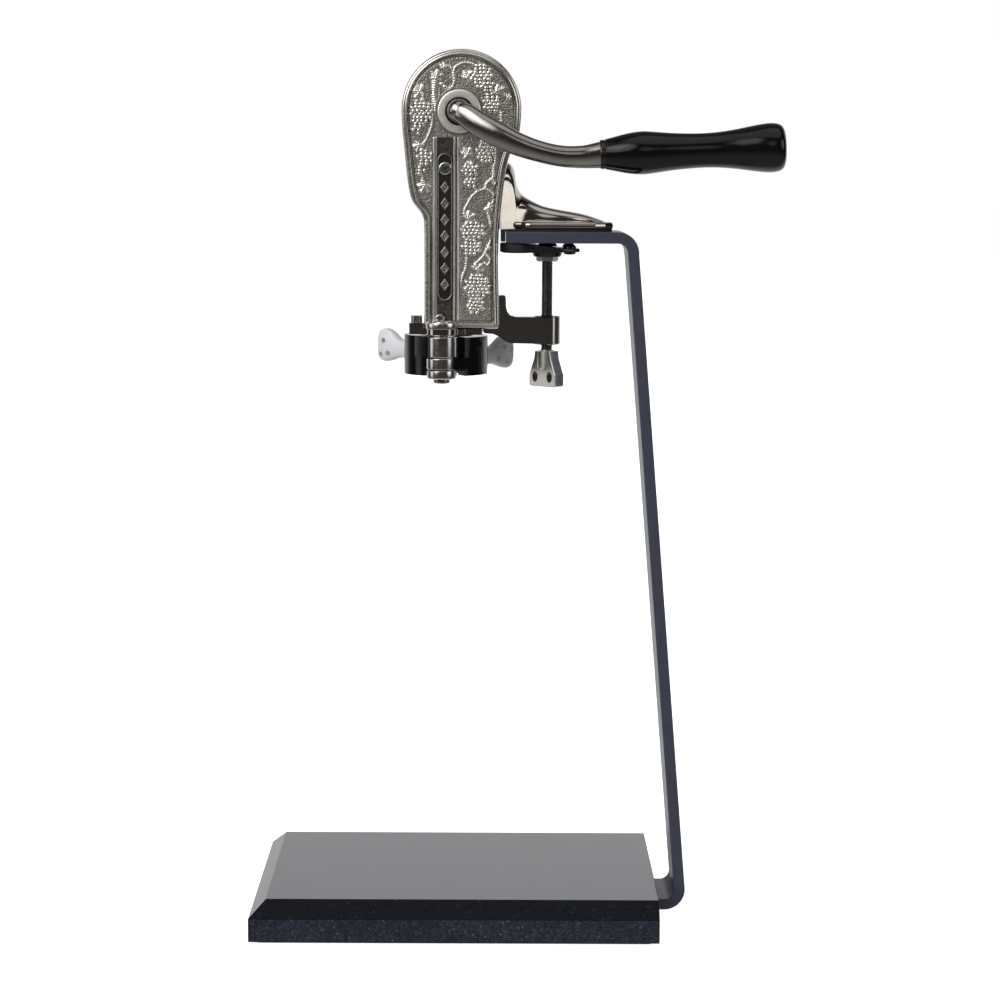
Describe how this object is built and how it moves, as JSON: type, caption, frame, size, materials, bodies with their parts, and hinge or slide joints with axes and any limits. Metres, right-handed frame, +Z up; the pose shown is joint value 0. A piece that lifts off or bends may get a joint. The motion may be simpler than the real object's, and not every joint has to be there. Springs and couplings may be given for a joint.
{
  "type": "lever corkscrew",
  "caption": "Bench corkscrew worked by a side crank, held in its own clamp on a bent flat-bar stand with a stone base, with hinged jaws that hold the bottle's neck.",
  "frame": {"origin": "centre of the stand's underside, on the surface it stands on", "axes": "+Z up; +X towards the crank handle; +Y away from the user, so the crank is on the -Y side"},
  "size_m": [0.3451, 0.188, 0.5803],
  "materials": {
    "granite": "polished granite",
    "felt": "felt",
    "bar_coat": "fine textured powder coat",
    "pewter": "antique pewter plate over a casting",
    "nickel": "satin nickel plate",
    "gunmetal": "polished dark gunmetal plate",
    "black_gloss": "gloss",
    "black_rubber": "matt",
    "liner_rubber": "matt",
    "grey_plastic": "satin",
    "black_paint": "satin",
    "steel": "bright",
    "dark_steel": "black oxide",
    "brass": "machined"
  },
  "bodies": {
    "stand": {"base_slab": "granite", "base_felt": "felt", "stand_bar": "bar_coat", "foot_screws": "steel", "foot_inserts": "brass", "case_ring": "pewter", "cover_near": "pewter", "cover_far": "pewter", "cover_screws": "steel", "name_strip": "black_gloss", "strip_screws": "steel", "case_floor": "pewter", "clamp_arm_upper": "nickel", "upper_pad": "black_rubber", "clamp_arm_lower": "gunmetal", "arm_screws": "steel", "bush_near": "nickel", "bush_far": "nickel", "idler_pin": "steel", "pinion_pin": "steel", "guide_rods": "steel", "guide_bridge": "grey_plastic", "worm_nut": "brass", "nut_pins": "steel", "neck_stop": "black_rubber", "jaw_bracket": "gunmetal", "bracket_screws": "steel", "jaw_pin": "steel", "jaw_pin_nut": "steel"},
    "crank": {"crank_shaft": "steel", "hub_collar": "nickel", "crank_gear": "brass", "lever_arm": "gunmetal", "grip_ferrule": "nickel", "grip": "black_gloss", "grip_cap": "nickel"},
    "idler": {"idler_gear": "brass"},
    "pinion": {"pinion_gear": "brass"},
    "carriage": {"carriage": "grey_plastic", "rack": "steel", "rack_screws": "steel", "worm_bearing": "brass"},
    "worm": {"worm": "steel", "worm_collar": "nickel"},
    "jaw_left": {"jaw_left": "black_gloss", "liner_left": "liner_rubber", "handle_left": "grey_plastic"},
    "jaw_right": {"jaw_right": "black_gloss", "liner_right": "liner_rubber", "handle_right": "grey_plastic"},
    "plate": {"pressure_plate": "black_paint", "plate_studs": "black_paint"},
    "screw": {"clamp_screw": "dark_steel", "swivel_nut": "nickel", "wing_key": "nickel", "wing_key_pin": "steel"}
  },
  "joints": [
    {"name": "crank_turn", "type": "hinge", "parent": "stand", "child": "crank", "pos_m": [0.001, -0.04, 0.54], "axis": [0, -1, 0], "range_deg": [0, 190]},
    {"name": "idler_turn", "type": "hinge", "parent": "stand", "child": "idler", "pos_m": [0.0172, 0.011, 0.51475], "axis": [0, -1, 0], "range_deg": [-390, 10]},
    {"name": "pinion_turn", "type": "hinge", "parent": "stand", "child": "pinion", "pos_m": [0.0025, 0.009, 0.49772], "axis": [0, -1, 0], "range_deg": [-10, 314]},
    {"name": "carriage_slide", "type": "slide", "parent": "stand", "child": "carriage", "axis": [0, 0, -1], "range_m": [-0.001, 0.0675]},
    {"name": "worm_spin", "type": "hinge", "parent": "carriage", "child": "worm", "pos_m": [-0.008, 0, 0.516], "axis": [0, 0, -1], "range_deg": [-20, 2200]},
    {"name": "jaw_left_hinge", "type": "hinge", "parent": "stand", "child": "jaw_left", "pos_m": [-0.01, -0.028, 0.38], "axis": [0, 0, -1], "range_deg": [0, 5.5], "stiffness_Nm_per_rad": 0.4},
    {"name": "jaw_right_hinge", "type": "hinge", "parent": "stand", "child": "jaw_right", "pos_m": [-0.01, -0.028, 0.38], "axis": [0, 0, 1], "range_deg": [0, 5.5], "stiffness_Nm_per_rad": 0.4},
    {"name": "plate_slide", "type": "slide", "parent": "stand", "child": "plate", "axis": [0, 0, -1], "range_m": [0, 0.0275]},
    {"name": "clamp_spin", "type": "hinge", "parent": "plate", "child": "screw", "pos_m": [0.0597, 0, 0.396], "axis": [0, 0, -1], "range_deg": [-10, 7950]}
  ],
  "couplings": [
    {"joint": "idler_turn", "follows": "crank_turn", "ratio": -2},
    {"joint": "pinion_turn", "follows": "crank_turn", "ratio": 1.6},
    {"joint": "carriage_slide", "follows": "crank_turn", "m_per_rad": 0.02},
    {"joint": "worm_spin", "follows": "crank_turn", "ratio": 11.424},
    {"joint": "clamp_spin", "follows": "plate_slide", "rad_per_m": 5026.5}
  ]
}
